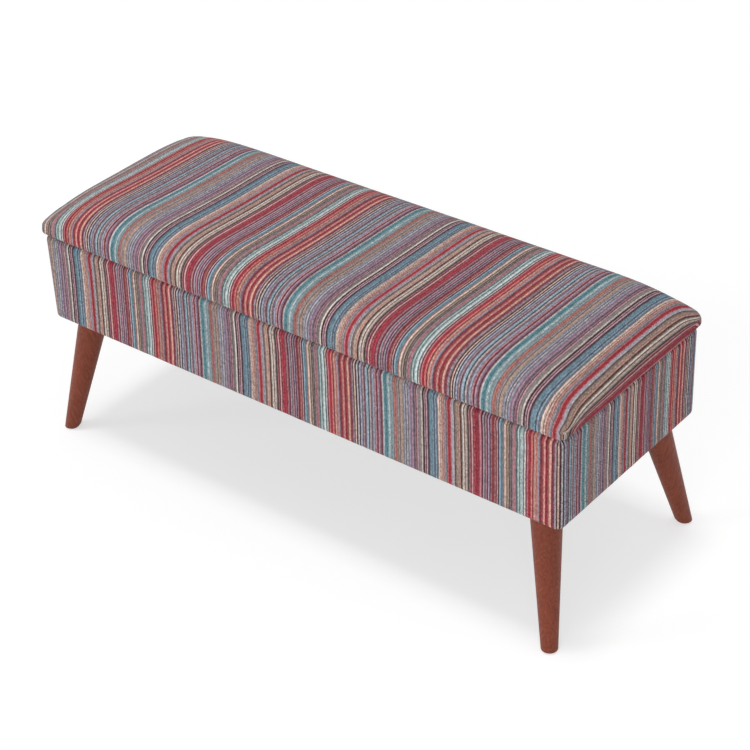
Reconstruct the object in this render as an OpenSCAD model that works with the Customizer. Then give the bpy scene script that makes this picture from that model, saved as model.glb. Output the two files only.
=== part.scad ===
// Upholstered storage bench: a padded box on four splayed legs, with a hinged, cushioned lid.
// X runs along the bench, the front faces -Y, and Z = 0 is the floor.

/* [Overall] */
// Length of the upholstered box
bench_l = 1100; // [800:10:1400]
// Depth of the upholstered box
bench_d = 400; // [360:5:480]
// Floor to the underside of the box
leg_h = 236; // [150:2:300]
// Underside of the box to the seam under the lid
box_h = 168; // [160:2:240]
// Seam to the crown of the lid
lid_h = 69; // [52:1:90]

/* [Box] */
// Thickness of the four wall panels
panel_t = 15; // [12:1:18]
// Thickness of the base board
base_t = 18; // [15:1:22]
// Radius of the padded vertical corners
corner_r = 14; // [12:1:22]
// Radius of the padded rim
rim_r = 10; // [9:1:12]
// Radius of the padded lower edge
lower_r = 6; // [4:1:8]

/* [Upholstery] */
// Thickness of the woven cover
cover_t = 1.2; // [1:0.1:1.6]
// Thickness of the wadding on the box
wadding_t = 6; // [4:0.5:8]
// Thickness of the wadding over the rim
rim_wadding_t = 2; // [1:0.5:3]
// Width of the cover's hem under the box
box_hem_w = 45; // [34:1:60]
// Length of cover turned down inside the rim
rim_turn = 22; // [14:1:30]
// Thickness of the storage lining
lining_t = 1.2; // [0.8:0.1:2]
// Thickness of the dust cloth under the box
dust_cloth_t = 1.2; // [0.8:0.1:1.4]

/* [Lid] */
// Clear height of the seam between the box and the lid
seam_gap = 1; // [0.6:0.1:1.4]
// How far the lid passes each end of the box
lid_over_l = 5; // [0:0.5:8]
// How far the lid passes the front and the back of the box
lid_over_d = 2; // [0:0.5:2.5]
// Thickness of the lid board
lid_board_t = 12; // [12:1:16]
// Thickness of foam around the edge of the lid board
foam_side_t = 8; // [8:0.5:12]
// Height of the lid's widest line above the seam
lid_waist_h = 18; // [16:1:24]
// How far in the dome runs from each end of the lid
end_roll = 210; // [60:5:240]
// How far in the dome runs from the front and the back of the lid
front_roll = 97; // [40:1:150]
// Width of the dome's level middle at the ends of the lid
end_level_w = 20; // [10:1:60]
// Fullness of the dome: 2 is an ellipse, more is squarer
fullness = 2.8; // [2:0.1:3.2]
// Fullness of the dome from front to back at the ends of the lid
end_fullness = 1.55; // [1.5:0.05:2.2]
// Radius of the lid's corners at the waist
lid_corner_r = 14; // [10:1:20]
// Radius of the lid's lower edge
lid_lower_r = 8; // [7:0.5:9]
// Width of the cover's hem under the lid
lid_hem_w = 30; // [26:1:32]
// Thickness of the cloth under the lid
lid_cloth_t = 0.8; // [0.6:0.1:1]

/* [Legs] */
// Diameter of a leg where it meets the box
leg_top_dia = 54; // [44:1:60]
// Diameter of a leg at the foot
leg_foot_dia = 28; // [24:1:36]
// Leg's top centre to the end of the box
leg_in_l = 56; // [44:1:90]
// Leg's top centre to the front or back of the box
leg_in_d = 46; // [40:1:70]
// How far a foot splays out along the bench
splay_l = 44; // [0:2:60]
// How far a foot splays out across the bench
splay_d = 52; // [0:2:60]
// Eased edge at the foot
foot_ease = 3; // [1:0.5:5]
// Diameter of a foot glide
glide_dia = 20; // [14:1:22]
// Thickness of a foot glide
glide_t = 2; // [1.5:0.5:4]

/* [Leg fixings] */
// Diameter of the hanger bolts
bolt_dia = 8; // [6:1:10]
// Length of hanger bolt in the leg
bolt_in_leg = 32; // [20:1:40]
// Diameter of the tee nut's barrel
nut_barrel_dia = 12; // [11:0.5:14]
// Length of the tee nut's barrel
nut_barrel_l = 12; // [8:1:13]
// Diameter of the tee nut's flange
nut_flange_dia = 24; // [18:1:28]
// Thickness of the tee nut's flange
nut_flange_t = 1.6; // [1:0.1:2]

/* [Hinges] */
// Length of a hinge
hinge_l = 80; // [60:5:120]
// Hinge's centre to the end of the box
hinge_in = 190; // [150:5:260]
// Thickness of a hinge leaf
leaf_t = 1.4; // [1:0.1:1.6]
// Diameter of the hinge pin
pin_dia = 3.2; // [2.5:0.1:3.4]
// Wall of a hinge knuckle
knuckle_wall = 1.6; // [1.2:0.1:1.8]
// Number of knuckles on a hinge
knuckle_n = 5; // [3:2:7]
// Clear gap between two knuckles
knuckle_gap = 0.3; // [0.2:0.05:0.5]
// Clear gap between the barrel and the back of the box
barrel_gap = 0.6; // [0.5:0.1:1]

/* [Lid stays] */
// Width of a stay's arm
arm_w = 14; // [12:1:18]
// Thickness of a stay's arm and brackets
arm_t = 2; // [1.5:0.1:2.5]
// Clear gap between two layers of a stay
arm_gap = 0.4; // [0.3:0.1:0.6]
// Diameter of a stay's rivets
rivet_dia = 5; // [4:0.5:6]
// Diameter of a rivet's head
rivet_head_dia = 9; // [8:0.5:11]
// Height of a rivet's head
rivet_head_t = 1; // [0.8:0.1:1.2]
// Hinge axis to the stay's pivot on the lid
stay_reach = 125; // [110:1:140]
// Slope of the lid's pivot below the hinge axis, in degrees
stay_dip = 10; // [9:0.5:12]
// Seam to the stay's pivot on the box
stay_drop = 105; // [96:1:108]
// Stay's pivot on the box to the lining at the back
stay_back_gap = 12; // [11:0.5:20]
// Corner radius of the brackets
bracket_r = 4; // [2:0.5:6]

/* [Screws] */
// Diameter of a frame screw
frame_screw_dia = 4; // [3:0.5:5]
// Diameter of a frame screw's head
frame_head_dia = 8; // [6.5:0.5:9]
// Length of a frame screw
frame_screw_l = 36; // [28:1:45]
// Diameter of a fitting screw
fit_screw_dia = 3; // [2.5:0.5:3.5]
// Diameter of a fitting screw's head
fit_head_dia = 5.6; // [5:0.2:6]
// Length of a fitting screw
fit_screw_l = 11; // [8:1:12]

/* [Hidden] */
$fn = 48;

screw_gap = 0.05; // screw to its hole
run_gap = 0.05; // pin or rivet to its hole
leaf_gap = 0.1; // between the two closed leaves
seat_gap = 0.3; // soft cover to a metal fitting
past = 1; // how far a cut passes the face it opens

seam_z = leg_h + box_h;
lid_z = seam_z + seam_gap; // underside of the lid

// Box: each layer lies inside the one before it.
frame_in = cover_t + wadding_t; // face of the cover to the outer face of the panels
frame_l = bench_l - 2 * frame_in;
frame_d = bench_d - 2 * frame_in;
frame_z0 = leg_h + cover_t;
frame_z1 = seam_z - cover_t - rim_wadding_t;
inner_l = frame_l - 2 * panel_t; // between the panels
inner_d = frame_d - 2 * panel_t;
floor_z = frame_z0 + base_t; // top of the base board
frame_corner_r = corner_r - frame_in; // rounding of the frame's upright corners
clear_l = inner_l - 2 * max(lining_t, cover_t); // clear storage space at the rim
clear_d = inner_d - 2 * max(lining_t, cover_t);

// Lid
lid_l = bench_l + 2 * lid_over_l;
lid_d = bench_d + 2 * lid_over_d;
board_in = cover_t + foam_side_t;
board_z0 = lid_z + cover_t;
board_z1 = board_z0 + lid_board_t;
crown_fn = 8; // steps round a corner of the crown
roll_steps = 10; // rings up the dome
crown_top = 0.997; // share of the dome's rise at its level middle

// Legs
leg_run = norm([splay_l, splay_d]);
leg_tilt = atan2(leg_run, leg_h);
leg_axis_l = norm([leg_run, leg_h]);
leg_past = 30; // length of turning beyond each cut end

// Hinges
knuckle_r = pin_dia / 2 + run_gap + knuckle_wall;
hinge_y = bench_d / 2 + knuckle_r + barrel_gap;
hinge_z = seam_z + seam_gap / 2;
leaf_y0 = bench_d / 2 - frame_in - panel_t; // inner end of a leaf, over the panel's inner face
hinge_screw_y = leaf_y0 + panel_t / 2;
knuckle_l = hinge_l / knuckle_n;
hinge_x = bench_l / 2 - hinge_in;

// Lid stays: a parallelogram of hinge axis, box pivot, elbow and lid pivot, as [y, z].
hinge_p = [hinge_y, hinge_z];
box_p = [clear_d / 2 - stay_back_gap, seam_z - stay_drop];
lid_p = hinge_p - stay_reach * [cos(stay_dip), sin(stay_dip)];
elbow_p = box_p + lid_p - hinge_p;
// Layers of a stay, from the storage wall inwards: bracket, lower arm, upper arm, lid bracket.
bracket_x = clear_l / 2 - arm_t;
lower_x = bracket_x - arm_gap - arm_t;
upper_x = lower_x - arm_gap - arm_t;
ear_x = upper_x - arm_gap - arm_t;
bracket_w = 2 * arm_w;
bracket_h = 3 * arm_w;
bracket_screw_z = arm_w; // screws above and below the box pivot
ear_w = 1.25 * arm_w;
flange_w = 20; // reach of the lid bracket's flange under the lid
flange_l = 44;
flange_screw_y = 14; // screws before and behind the lid pivot
cloth_z = board_z0 - lid_cloth_t; // underside of the lid's cloth

// Frame screws sit deep enough for their heads to clear the rounded corners.
head_in = (panel_t - frame_head_dia) / 2; // end of the box frame to the edge of a head
corner_bite = max(frame_corner_r - head_in, 0);
head_sink = frame_corner_r - sqrt(frame_corner_r * frame_corner_r - corner_bite * corner_bite) + screw_gap;
// Below, above and well above the screws of the stay brackets.
frame_screw_z = [(floor_z + box_p[1] - bracket_screw_z) / 2, box_p[1] + 2.5 * bracket_screw_z, frame_z1 - 25];

cloth_colour = "#8b5f69";
wood_colour = "#7f4534";
board_colour = "#c9a878";
foam_colour = "#ece3c9";
steel_colour = "#b9bcc0";
black_colour = "#2b2b2d";

// ---- Shared shapes ----

// Places its children on both ends of the bench, mirrored.
module both_ends() {
    for (m = [0, 1]) mirror([m, 0, 0]) children();
}

// Places its children at all four corners of the bench, mirrored.
module four_corners() {
    for (mx = [0, 1], my = [0, 1]) mirror([mx, 0, 0]) mirror([0, my, 0]) children();
}

// Upright box centred on the Z axis.
module centred(l, d, z0, z1) {
    translate([-l / 2, -d / 2, z0]) cube([l, d, z1 - z0]);
}

// Takes the corner off a square edge to leave a radius.
module corner_waste(r) {
    difference() {
        square(r + past);
        circle(r);
    }
}

// Section from a corner's axis out to the wall, rounded at the top and the bottom.
module wall_section(w, h, top_r, bottom_r) {
    difference() {
        square([w, h]);
        if (top_r > 0) translate([w - top_r, h - top_r]) corner_waste(top_r);
        if (bottom_r > 0) translate([w - bottom_r, bottom_r]) mirror([0, 1]) corner_waste(bottom_r);
    }
}

// Box with rounded upright corners, rim and lower edge, drawn inset from the bench's outline.
module rounded_box(inset, z0, z1, top_r, bottom_r) {
    r = max(corner_r - inset, 1);
    tr = min(max(top_r, 0), r);
    br = min(max(bottom_r, 0), r);
    l = bench_l - 2 * inset;
    d = bench_d - 2 * inset;
    h = z1 - z0;
    translate([0, 0, z0]) {
        rotate([90, 0, 90]) linear_extrude(l - 2 * r, center = true) {
            for (m = [0, 1]) mirror([m, 0]) translate([d / 2 - r, 0]) wall_section(r, h, tr, br);
            translate([r - d / 2, 0]) square([d - 2 * r, h]);
        }
        both_ends() translate([l / 2 - r, 0, 0]) rotate([90, 0, 0])
            linear_extrude(d - 2 * r, center = true) wall_section(r, h, tr, br);
        four_corners() translate([l / 2 - r, d / 2 - r, 0])
            rotate_extrude(angle = 90) wall_section(r, h, tr, br);
    }
}

module cover_outside() {
    rounded_box(0, leg_h, seam_z, rim_r, lower_r);
}

module wadding_outside() {
    rounded_box(cover_t, leg_h + cover_t, seam_z - cover_t, rim_r - cover_t, lower_r - cover_t);
}

module frame_outside() {
    rounded_box(frame_in, frame_z0, frame_z1, rim_r - frame_in, lower_r - frame_in);
}

// Countersunk wood screw, head up at the origin. A hole is the same shape with grow.
module wood_screw(dia, head_dia, length, grow = 0) {
    r = dia / 2 + grow;
    head_h = (head_dia - dia) / 2;
    translate([0, 0, -length + dia]) cylinder(r = r, h = length - dia - head_h / 2);
    translate([0, 0, -length]) cylinder(r1 = 0.3 + grow, r2 = r, h = dia);
    translate([0, 0, -head_h - grow]) cylinder(r1 = r, r2 = head_dia / 2 + grow, h = head_h + grow);
}

module frame_screw(grow = 0) {
    wood_screw(frame_screw_dia, frame_head_dia, frame_screw_l, grow);
}

module fitting_screw(grow = 0) {
    wood_screw(fit_screw_dia, fit_head_dia, fit_screw_l, grow);
}

// ---- Box frame ----

// Screws through the long panels into the ends of the short ones. A hole is open over the sunk head.
module frame_screw_set(grow = 0) {
    four_corners() for (z = frame_screw_z)
        translate([frame_l / 2 - panel_t / 2, frame_d / 2 - head_sink, z]) rotate([-90, 0, 0]) {
            frame_screw(grow);
            if (grow > 0) cylinder(r = frame_head_dia / 2 + grow, h = head_sink + past);
        }
}

// Screws through the panels into the edges of the base board.
module base_screw_set(grow = 0) {
    z = frame_z0 + base_t / 2;
    for (my = [0, 1], x = [-2:2]) mirror([0, my, 0])
        translate([x * inner_l / 5, frame_d / 2, z]) rotate([-90, 0, 0]) frame_screw(grow);
    for (mx = [0, 1], y = [-1, 1]) mirror([mx, 0, 0])
        translate([frame_l / 2, y * inner_d / 4, z]) rotate([0, 90, 0]) frame_screw(grow);
}

module long_panel(side) {
    color(board_colour) difference() {
        intersection() {
            frame_outside();
            translate([-bench_l / 2, side > 0 ? inner_d / 2 : -inner_d / 2 - panel_t - past, 0])
                cube([bench_l, panel_t + past, seam_z]);
        }
        frame_screw_set(screw_gap);
        base_screw_set(screw_gap);
        if (side > 0) hinge_box_screw_set(screw_gap);
    }
}

module short_panel(side) {
    color(board_colour) difference() {
        intersection() {
            frame_outside();
            translate([side > 0 ? inner_l / 2 : -inner_l / 2 - panel_t - past, -inner_d / 2, 0])
                cube([panel_t + past, inner_d, seam_z]);
        }
        frame_screw_set(screw_gap);
        base_screw_set(screw_gap);
        stay_box_screw_set(screw_gap);
    }
}

module front_panel() {
    long_panel(-1);
}

module back_panel() {
    long_panel(1);
}

module left_panel() {
    short_panel(-1);
}

module right_panel() {
    short_panel(1);
}

module base_board() {
    color(board_colour) difference() {
        centred(inner_l, inner_d, frame_z0, floor_z);
        base_screw_set(screw_gap);
        four_corners() translate([bench_l / 2 - leg_in_l, bench_d / 2 - leg_in_d, 0]) {
            translate([0, 0, frame_z0 - past])
                cylinder(r = nut_barrel_dia / 2 + screw_gap, h = base_t + 2 * past);
            translate([0, 0, floor_z - nut_flange_t])
                cylinder(r = nut_flange_dia / 2 + screw_gap, h = nut_flange_t + past);
        }
    }
}

module frame_screws() {
    color(steel_colour) frame_screw_set();
}

module base_screws() {
    color(steel_colour) base_screw_set();
}

// ---- Box upholstery ----

module box_wadding() {
    color(foam_colour) difference() {
        wadding_outside();
        frame_outside();
        centred(inner_l, inner_d, leg_h, seam_z);
        hinge_box_screw_set(screw_gap);
    }
}

module box_cover() {
    color(cloth_colour) {
        difference() {
            cover_outside();
            wadding_outside();
            centred(inner_l - 2 * cover_t, inner_d - 2 * cover_t, seam_z - cover_t - past, seam_z + past);
            centred(bench_l - 2 * box_hem_w, bench_d - 2 * box_hem_w, leg_h - past, leg_h + cover_t + past);
            hinge_seats();
            hinge_box_screw_set(screw_gap);
            bolt_holes();
        }
        difference() {
            centred(inner_l, inner_d, seam_z - rim_turn, seam_z - cover_t);
            centred(inner_l - 2 * cover_t, inner_d - 2 * cover_t, seam_z - rim_turn - past, seam_z);
        }
    }
}

module storage_lining() {
    color(black_colour) difference() {
        centred(inner_l, inner_d, floor_z, seam_z - rim_turn);
        centred(inner_l - 2 * lining_t, inner_d - 2 * lining_t, floor_z + lining_t, seam_z);
        stay_box_screw_set(screw_gap);
    }
}

module dust_cloth() {
    color(black_colour) difference() {
        centred(bench_l - 2 * box_hem_w, bench_d - 2 * box_hem_w, frame_z0 - dust_cloth_t, frame_z0);
        bolt_holes();
    }
}

// Clears the hanger bolts through the cloths under the box.
module bolt_holes() {
    four_corners() translate([bench_l / 2 - leg_in_l, bench_d / 2 - leg_in_d, leg_h - past])
        cylinder(r = bolt_dia / 2 + screw_gap, h = cover_t + 2 * past);
}

// ---- Legs ----

// Leg at the +X +Y corner: a tapered turning, cut level at the box and at the floor.
module leg() {
    top_r = leg_top_dia / 2;
    foot_r = leg_foot_dia / 2;
    taper = (foot_r - top_r) / leg_axis_l;
    color(wood_colour) difference() {
        intersection() {
            translate([bench_l / 2 - leg_in_l, bench_d / 2 - leg_in_d, leg_h])
                rotate([0, 0, atan2(splay_d, splay_l)]) rotate([0, 180 - leg_tilt, 0])
                translate([0, 0, -leg_past])
                cylinder(r1 = top_r - taper * leg_past, r2 = foot_r + taper * leg_past,
                    h = leg_axis_l + 2 * leg_past);
            translate([bench_l / 2 - leg_in_l + splay_l, bench_d / 2 - leg_in_d + splay_d, glide_t])
                rotate_extrude() foot_trim(foot_r);
        }
        translate([bench_l / 2 - leg_in_l, bench_d / 2 - leg_in_d, leg_h - bolt_in_leg])
            cylinder(r = bolt_dia / 2 + screw_gap, h = bolt_in_leg + past);
    }
}

// Section of the space a leg fills: eased at the foot, then opening faster than the leg leans.
module foot_trim(foot_r) {
    h = leg_h - glide_t;
    wide = foot_r / cos(leg_tilt);
    union() {
        square([wide - foot_ease, h]);
        translate([wide - foot_ease, foot_ease]) circle(foot_ease);
        polygon([[0, foot_ease], [wide, foot_ease], [wide + h - foot_ease, h], [0, h]]);
    }
}

module leg_back_right() {
    leg();
}

module leg_back_left() {
    mirror([1, 0, 0]) leg();
}

module leg_front_right() {
    mirror([0, 1, 0]) leg();
}

module leg_front_left() {
    mirror([1, 0, 0]) mirror([0, 1, 0]) leg();
}

module hanger_bolts() {
    color(steel_colour) four_corners()
        translate([bench_l / 2 - leg_in_l, bench_d / 2 - leg_in_d, leg_h - bolt_in_leg])
        cylinder(r = bolt_dia / 2, h = bolt_in_leg + cover_t + base_t - nut_flange_t);
}

module tee_nuts() {
    color(steel_colour) four_corners()
        translate([bench_l / 2 - leg_in_l, bench_d / 2 - leg_in_d, 0]) difference() {
            union() {
                translate([0, 0, floor_z - nut_flange_t]) cylinder(r = nut_flange_dia / 2, h = nut_flange_t);
                translate([0, 0, floor_z - nut_flange_t - nut_barrel_l])
                    cylinder(r = nut_barrel_dia / 2, h = nut_barrel_l + nut_flange_t / 2);
            }
            translate([0, 0, floor_z - nut_flange_t - nut_barrel_l - past])
                cylinder(r = bolt_dia / 2 + screw_gap, h = nut_barrel_l + nut_flange_t + 2 * past);
        }
}

module foot_glides() {
    color(black_colour) four_corners()
        translate([bench_l / 2 - leg_in_l + splay_l, bench_d / 2 - leg_in_d + splay_d, 0])
        cylinder(r = glide_dia / 2, h = glide_t);
}

// ---- Hinges ----

// The knuckles of one leaf, counted from one end: even ones on the box, odd ones on the lid.
module knuckles(first, r, extra) {
    for (k = [first:2:knuckle_n - 1])
        translate([k * knuckle_l - hinge_l / 2 + knuckle_gap / 2 - extra, 0, 0]) rotate([0, 90, 0])
            cylinder(r = r, h = knuckle_l - knuckle_gap + 2 * extra);
}

// Both hinges' leaves of one kind. up = -1 is the box leaf and 1 the lid leaf.
module hinge_leaves(up) {
    both_ends() translate([hinge_x, hinge_y, hinge_z]) difference() {
        union() {
            knuckles(up > 0 ? 1 : 0, knuckle_r, 0);
            translate([-hinge_l / 2, leaf_y0 - hinge_y, up > 0 ? leaf_gap / 2 : -leaf_t])
                cube([hinge_l, hinge_y - leaf_y0, leaf_t - leaf_gap / 2]);
        }
        // The other leaf's knuckles turn in these notches.
        knuckles(up > 0 ? 0 : 1, knuckle_r + run_gap + knuckle_gap, knuckle_gap);
        translate([-hinge_l / 2 - past, 0, 0]) rotate([0, 90, 0])
            cylinder(r = pin_dia / 2 + run_gap, h = hinge_l + 2 * past);
        translate([-hinge_x, -hinge_y, -hinge_z]) hinge_screw_set(up, screw_gap);
    }
}

// Three screws in each leaf. up = -1 goes down into the box and 1 goes up into the lid.
module hinge_screw_set(up, grow = 0) {
    both_ends() for (k = [-1:1])
        translate([hinge_x + k * hinge_l / 3, hinge_screw_y, hinge_z]) mirror([0, 0, up > 0 ? 1 : 0])
            translate([0, 0, -leaf_gap / 2]) fitting_screw(grow);
}

module hinge_box_screw_set(grow = 0) {
    hinge_screw_set(-1, grow);
}

module hinge_lid_screw_set(grow = 0) {
    hinge_screw_set(1, grow);
}

// Room that the leaves press into the covers of the box and the lid.
module hinge_seats() {
    both_ends() translate([hinge_x - hinge_l / 2 - seat_gap, leaf_y0 - seat_gap, hinge_z - leaf_t])
        cube([hinge_l + 2 * seat_gap, hinge_y - leaf_y0 + seat_gap, 2 * leaf_t]);
}

module hinge_box_leaves() {
    color(steel_colour) hinge_leaves(-1);
}

module hinge_lid_leaves() {
    color(steel_colour) hinge_leaves(1);
}

module hinge_pins() {
    color(steel_colour) both_ends() translate([hinge_x, hinge_y, hinge_z]) {
        translate([-hinge_l / 2 - run_gap, 0, 0]) rotate([0, 90, 0])
            cylinder(r = pin_dia / 2, h = hinge_l + 2 * run_gap);
        for (m = [0, 1]) mirror([m, 0, 0]) translate([hinge_l / 2 + run_gap, 0, 0]) rotate([0, 90, 0])
            cylinder(r = (pin_dia / 2 + knuckle_r) / 2, h = knuckle_wall / 2);
    }
}

module hinge_box_screws() {
    color(steel_colour) hinge_box_screw_set();
}

module hinge_lid_screws() {
    color(steel_colour) hinge_lid_screw_set();
}

// ---- Lid ----

// One level ring round the lid: a rounded rectangle of half length hl and half depth hd.
function ring(hl, hd, r, z) = [
    for (q = [0:3], i = [0:crown_fn])
        let (a = 90 * (q + i / crown_fn), sx = q == 0 || q == 3 ? 1 : -1, sy = q < 2 ? 1 : -1)
        [sx * (hl - r) + r * cos(a), sy * (hd - r) + r * sin(a), z]
];

// Inset from an edge at which a dome that runs in by run reaches the share h of its rise.
function dome_inset(h, run, full) = run * (1 - pow(1 - pow(h, full), 1 / full));

// Point i of a level line at share h of the rise, inset from the corner of the lid. It starts at the
// end of the lid. The section from front to back grows from run to end_run, and rounder, towards that end.
function dome_corner(h, i, el, run, end_run) =
    let (e = pow(h, 1 - i / crown_fn), d = pow(h, i / crown_fn))
    [dome_inset(e, el, fullness),
        dome_inset(d, run + (end_run - run) * (1 - e), fullness + (end_fullness - fullness) * (1 - e))];

// Moves a point that is inset from a sharp corner onto one rounded by r.
function ease_corner(p, r) =
    let (x = 1 - p[0] / r, y = 1 - p[1] / r, far = max(x, y), a = 45 * min(x, y) / max(far, 0.001),
        t = x > y ? a : 90 - a)
    min(x, y) > 0 ? [r - r * far * cos(t), r - r * far * sin(t)] : p;

// Rings from the underside to the crown, drawn t inside the cover's outer face.
function crown_rings(t) =
    let (hl = lid_l / 2 - t, hd = lid_d / 2 - t, rl = lid_lower_r - t, rc = lid_corner_r - t,
        waist = seam_z + lid_waist_h, rise = lid_h - lid_waist_h - t)
    concat(
        [for (i = [0:3]) let (a = 30 * i, in = rl * (1 - sin(a)))
            ring(hl - in, hd - in, max(rc - in, rc / 4), lid_z + t + rl * (1 - cos(a)))],
        [ring(hl, hd, rc, waist)],
        [for (k = [1:roll_steps]) let (h = crown_top * sin(90 * k / roll_steps),
            corner = [for (i = [0:crown_fn])
                ease_corner(dome_corner(h, i, end_roll - t, front_roll - t, hd - end_level_w / 2), rc)])
            [for (q = [0:3], i = [0:crown_fn])
                let (c = corner[q % 2 == 0 ? i : crown_fn - i],
                    sx = q == 0 || q == 3 ? 1 : -1, sy = q < 2 ? 1 : -1)
                [sx * (hl - c[0]), sy * (hd - c[1]), waist + rise * h / crown_top]]]
    );

// Solid through a stack of rings that all have the same number of points.
module loft(rings) {
    n = len(rings[0]);
    m = len(rings);
    polyhedron(points = [for (r = rings) each r], faces = concat(
        [[for (j = [0:n - 1]) j]],
        [for (k = [0:m - 2], j = [0:n - 1]) [k * n + j, (k + 1) * n + j, k * n + (j + 1) % n]],
        [for (k = [0:m - 2], j = [0:n - 1])
            [k * n + (j + 1) % n, (k + 1) * n + j, (k + 1) * n + (j + 1) % n]],
        [[for (j = [n - 1:-1:0]) (m - 1) * n + j]]
    ), convexity = 4);
}

// Board with rounded corners, shared by the lid board and the foam's recess for it.
module lid_board_shape() {
    l = lid_l - 2 * board_in;
    d = lid_d - 2 * board_in;
    r = max(lid_corner_r - cover_t, 2);
    centred(l, d - 2 * r, board_z0, board_z1);
    centred(l - 2 * r, d, board_z0, board_z1);
    four_corners() translate([l / 2 - r, d / 2 - r, board_z0]) cylinder(r = r, h = lid_board_t);
}

module lid_board() {
    color(board_colour) difference() {
        lid_board_shape();
        hinge_lid_screw_set(screw_gap);
        stay_lid_screw_set(screw_gap);
    }
}

module lid_foam() {
    color(foam_colour) difference() {
        loft(crown_rings(cover_t));
        lid_board_shape();
    }
}

module lid_cover() {
    color(cloth_colour) difference() {
        loft(crown_rings(0));
        loft(crown_rings(cover_t));
        centred(lid_l - 2 * lid_hem_w, lid_d - 2 * lid_hem_w, lid_z - past, board_z0 + past);
        hinge_seats();
        hinge_lid_screw_set(screw_gap);
    }
}

module lid_cloth() {
    color(black_colour) difference() {
        centred(lid_l - 2 * lid_hem_w, lid_d - 2 * lid_hem_w, cloth_z, board_z0);
        stay_lid_screw_set(screw_gap);
    }
}

// ---- Lid stays ----

// Draws a [y, z] outline as a plate of thickness t whose outer face is t beyond x, on both ends.
module stay_plate(x, t) {
    translate([x, 0, 0]) rotate([90, 0, 90]) linear_extrude(t) children();
}

// Flat bar with round ends and a rivet hole in each, from pivot a to pivot b.
module arm(x, a, b) {
    along = b - a;
    span = norm(along);
    translate([x, a[0], a[1]]) rotate([atan2(along[1], along[0]), 0, 0]) rotate([90, 0, 90])
        linear_extrude(arm_t) difference() {
            union() {
                for (u = [0, span]) translate([u, 0]) circle(arm_w / 2);
                translate([0, -arm_w / 2]) square([span, arm_w]);
            }
            for (u = [0, span]) translate([u, 0]) circle(rivet_dia / 2 + run_gap);
        }
}

module lower_arm() {
    color(steel_colour) arm(lower_x, box_p, elbow_p);
}

module upper_arm() {
    color(steel_colour) arm(upper_x, elbow_p, lid_p);
}

// Rivet along X from x0 to x1, with a head outside each end.
module rivet(p, x0, x1, head0 = true, head1 = true) {
    translate([x0, p[0], p[1]]) rotate([0, 90, 0]) {
        cylinder(r = rivet_dia / 2, h = x1 - x0);
        if (head0) translate([0, 0, -rivet_head_t]) cylinder(r = rivet_head_dia / 2, h = rivet_head_t);
        if (head1) translate([0, 0, x1 - x0]) cylinder(r = rivet_head_dia / 2, h = rivet_head_t);
    }
}

module elbow_rivet() {
    color(steel_colour) rivet(elbow_p, upper_x - run_gap, lower_x + arm_t + run_gap);
}

module rounded_plate(w, h, r) {
    translate([-w / 2 + r, -h / 2]) square([w - 2 * r, h]);
    translate([-w / 2, -h / 2 + r]) square([w, h - 2 * r]);
    for (x = [-1, 1], y = [-1, 1]) translate([x * (w / 2 - r), y * (h / 2 - r)]) circle(r);
}

module stay_box_screw_set(grow = 0) {
    both_ends() for (z = [-1, 1])
        translate([bracket_x, box_p[0], box_p[1] + z * bracket_screw_z]) rotate([0, -90, 0])
            fitting_screw(grow);
}

module stay_lid_screw_set(grow = 0) {
    both_ends() for (y = [-1, 1])
        translate([ear_x - flange_w / 2, lid_p[0] + y * flange_screw_y, cloth_z - arm_t])
            rotate([180, 0, 0]) fitting_screw(grow);
}

module stay_box_brackets() {
    back = clear_d / 2 - box_p[0] - arm_gap; // keeps the plate clear of the lining at the back
    color(steel_colour) difference() {
        both_ends() stay_plate(bracket_x, arm_t) difference() {
            translate([box_p[0] + min(0, back - bracket_w / 2), box_p[1]])
                rounded_plate(bracket_w, bracket_h, bracket_r);
            translate(box_p) circle(rivet_dia / 2 + run_gap);
        }
        stay_box_screw_set(screw_gap);
    }
}

module stay_lid_brackets() {
    color(steel_colour) difference() {
        both_ends() {
            stay_plate(ear_x, arm_t) difference() {
                union() {
                    translate(lid_p) circle(ear_w / 2);
                    translate([lid_p[0] - ear_w / 2, lid_p[1]]) square([ear_w, cloth_z - lid_p[1]]);
                }
                translate(lid_p) circle(rivet_dia / 2 + run_gap);
            }
            translate([ear_x + arm_t - flange_w / 2 - arm_t / 2, lid_p[0], cloth_z - arm_t])
                linear_extrude(arm_t) rounded_plate(flange_w + arm_t, flange_l, bracket_r / 2);
        }
        stay_lid_screw_set(screw_gap);
    }
}

module stay_box_rivets() {
    color(steel_colour) both_ends() rivet(box_p, lower_x - run_gap, bracket_x + arm_t, head1 = false);
}

module stay_lid_rivets() {
    color(steel_colour) both_ends() rivet(lid_p, ear_x - run_gap, upper_x + arm_t + run_gap);
}

module stay_box_screws() {
    color(steel_colour) stay_box_screw_set();
}

module stay_lid_screws() {
    color(steel_colour) stay_lid_screw_set();
}

module stay_lower_arm_right() {
    lower_arm();
}

module stay_lower_arm_left() {
    mirror([1, 0, 0]) lower_arm();
}

module stay_upper_arm_right() {
    upper_arm();
}

module stay_upper_arm_left() {
    mirror([1, 0, 0]) upper_arm();
}

module stay_elbow_rivet_right() {
    elbow_rivet();
}

module stay_elbow_rivet_left() {
    mirror([1, 0, 0]) elbow_rivet();
}

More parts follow.
